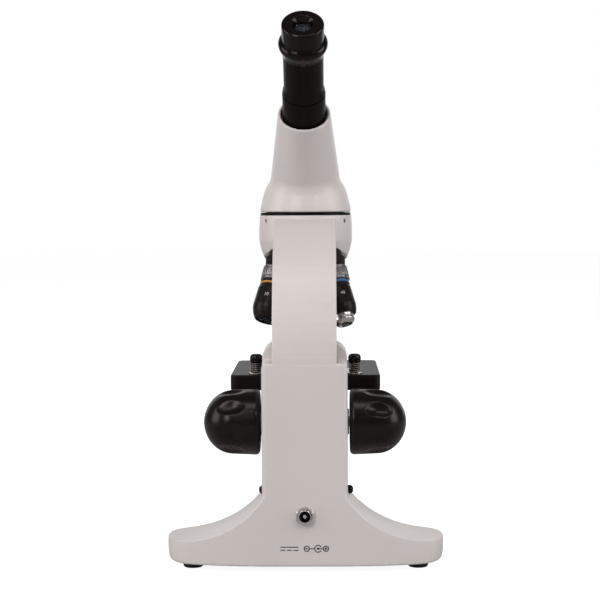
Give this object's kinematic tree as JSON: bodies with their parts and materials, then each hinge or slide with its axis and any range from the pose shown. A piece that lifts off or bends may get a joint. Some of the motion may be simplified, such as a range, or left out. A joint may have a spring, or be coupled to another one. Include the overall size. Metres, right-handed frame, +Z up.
{
  "type": "microscope",
  "caption": "Student microscope with a revolving inclined eyepiece head, a revolving nosepiece of objectives, a rack-focused stage with spring clips and a base lamp.",
  "frame": {"origin": "middle of the bounding box in X and Y, on the plane that the feet stand on", "axes": "+Z up; +Y from the rear wall of the stand, where the eyepiece points, to the front of the base; +X to the right seen from behind"},
  "size_m": [0.162, 0.1734, 0.3224],
  "materials": {
    "casting_white": "satin",
    "plate_black": "matte",
    "steel": "brushed",
    "dark_steel": "black oxide",
    "rubber": "matte",
    "chrome": "polished",
    "nickel": "polished",
    "board": "solder mask",
    "gloss_black": "gloss",
    "matte_black": "matte",
    "satin_black": "satin black anodised",
    "stage_black": "fine textured powder coat",
    "objective_grey": "satin",
    "aluminium": "machined",
    "brass": "machined",
    "frosted_glass": "frosted",
    "lens_glass": "polished",
    "led": "epoxy"
  },
  "bodies": {
    "stand": {"base_casting": "casting_white", "arm_casting": "casting_white", "base_cover": "plate_black", "cover_screws": "steel", "rubber_feet": "rubber", "dc_inlet_barrel": "chrome", "dc_inlet_nut": "chrome", "dc_inlet_pin": "chrome", "control_board": "board", "lamp_collar": "gloss_black", "lamp_lens": "frosted_glass", "lamp_led": "led", "guide_rails": "steel", "shaft_bushes": "steel", "turret_mount": "satin_black", "turret_pivot": "steel", "head_ring": "satin_black", "head_lock_screws": "dark_steel", "dimmer_body": "matte_black", "switch_body": "matte_black"},
    "dimmer": {"dimmer_wheel": "gloss_black"},
    "switch": {"switch_button": "gloss_black"},
    "focus_drive": {"focus_shaft": "steel", "focus_pinion": "brass", "focus_knob_left": "gloss_black", "focus_knob_right": "gloss_black", "knob_set_screws": "dark_steel"},
    "stage_carriage": {"stage_slide": "aluminium", "focus_rack": "brass", "stage_bracket": "stage_black", "stage_plate": "stage_black", "bracket_screws": "steel", "condenser_lens": "lens_glass", "disc_pivot": "steel"},
    "diaphragm": {"diaphragm_disc": "satin_black"},
    "clip_left": {"clip_post_left": "gloss_black", "clip_spring_left": "nickel"},
    "clip_left_arm": {"clip_blade_left": "nickel"},
    "clip_right": {"clip_post_right": "gloss_black", "clip_spring_right": "nickel"},
    "clip_right_arm": {"clip_blade_right": "nickel"},
    "turret": {"turret_disc": "satin_black", "turret_grip": "satin_black", "objective_low": "objective_grey", "objective_mid": "objective_grey", "objective_high": "objective_grey", "objective_collars": "nickel", "objective_lenses": "lens_glass"},
    "high_nose": {"objective_high_nose": "nickel", "nose_lens": "lens_glass"},
    "head": {"head_housing": "casting_white", "head_prism": "lens_glass", "drawtube": "satin_black"},
    "eyepiece": {"eyepiece_barrel": "satin_black", "eyepiece_cap": "gloss_black", "eye_lens": "lens_glass", "field_lens": "lens_glass"}
  },
  "joints": [
    {"name": "focus_turn", "type": "hinge", "parent": "stand", "child": "focus_drive", "pos_m": [0, -0.05632, 0.0852], "axis": [1, 0, 0], "range_deg": [-25.5, 219.1]},
    {"name": "stage_lift", "type": "slide", "parent": "stand", "child": "stage_carriage", "axis": [0, 0, 1], "range_m": [-0.002, 0.0172]},
    {"name": "disc_turn", "type": "hinge", "parent": "stage_carriage", "child": "diaphragm", "pos_m": [0, 0.02868, 0.0983], "axis": [0, 0, 1], "continuous": true},
    {"name": "clip_left_swing", "type": "hinge", "parent": "stage_carriage", "child": "clip_left", "pos_m": [-0.0296, -0.02732, 0.1102], "axis": [0, 0, 1], "range_deg": [-10, 50]},
    {"name": "clip_left_lift", "type": "slide", "parent": "clip_left", "child": "clip_left_arm", "axis": [0, 0, 1], "range_m": [0, 0.002], "stiffness_N_per_m": 300, "springref_m": -0.001, "deforming": ["clip_spring_left"]},
    {"name": "clip_right_swing", "type": "hinge", "parent": "stage_carriage", "child": "clip_right", "pos_m": [0.0296, -0.02732, 0.1102], "axis": [0, 0, 1], "range_deg": [-50, 10]},
    {"name": "clip_right_lift", "type": "slide", "parent": "clip_right", "child": "clip_right_arm", "axis": [0, 0, 1], "range_m": [0, 0.002], "stiffness_N_per_m": 300, "springref_m": -0.001, "deforming": ["clip_spring_right"]},
    {"name": "turret_turn", "type": "hinge", "parent": "stand", "child": "turret", "pos_m": [0, 0.01168, 0.2361], "axis": [0, -0.2588, -0.9659], "continuous": true},
    {"name": "nose_push", "type": "slide", "parent": "turret", "child": "high_nose", "axis": [-0.2241, 0.375, 0.8995], "range_m": [0, 0.0015], "stiffness_N_per_m": 400, "springref_m": -0.001},
    {"name": "head_turn", "type": "hinge", "parent": "stand", "child": "head", "pos_m": [0, 0.01168, 0.2056], "axis": [0, 0, 1], "continuous": true},
    {"name": "eyepiece_pull", "type": "slide", "parent": "head", "child": "eyepiece", "axis": [0, -0.7071, 0.7071], "range_m": [0, 0.03]},
    {"name": "dimmer_turn", "type": "hinge", "parent": "stand", "child": "dimmer", "pos_m": [-0.0196, -0.04832, 0.0437], "axis": [0, 0, 1], "range_deg": [0, 270]},
    {"name": "switch_push", "type": "slide", "parent": "stand", "child": "switch", "axis": [-1, 0, 0], "range_m": [0, 0.0016], "stiffness_N_per_m": 250, "springref_m": -0.001}
  ],
  "couplings": [
    {"joint": "focus_turn", "follows": "stage_lift", "rad_per_m": 222.22}
  ]
}
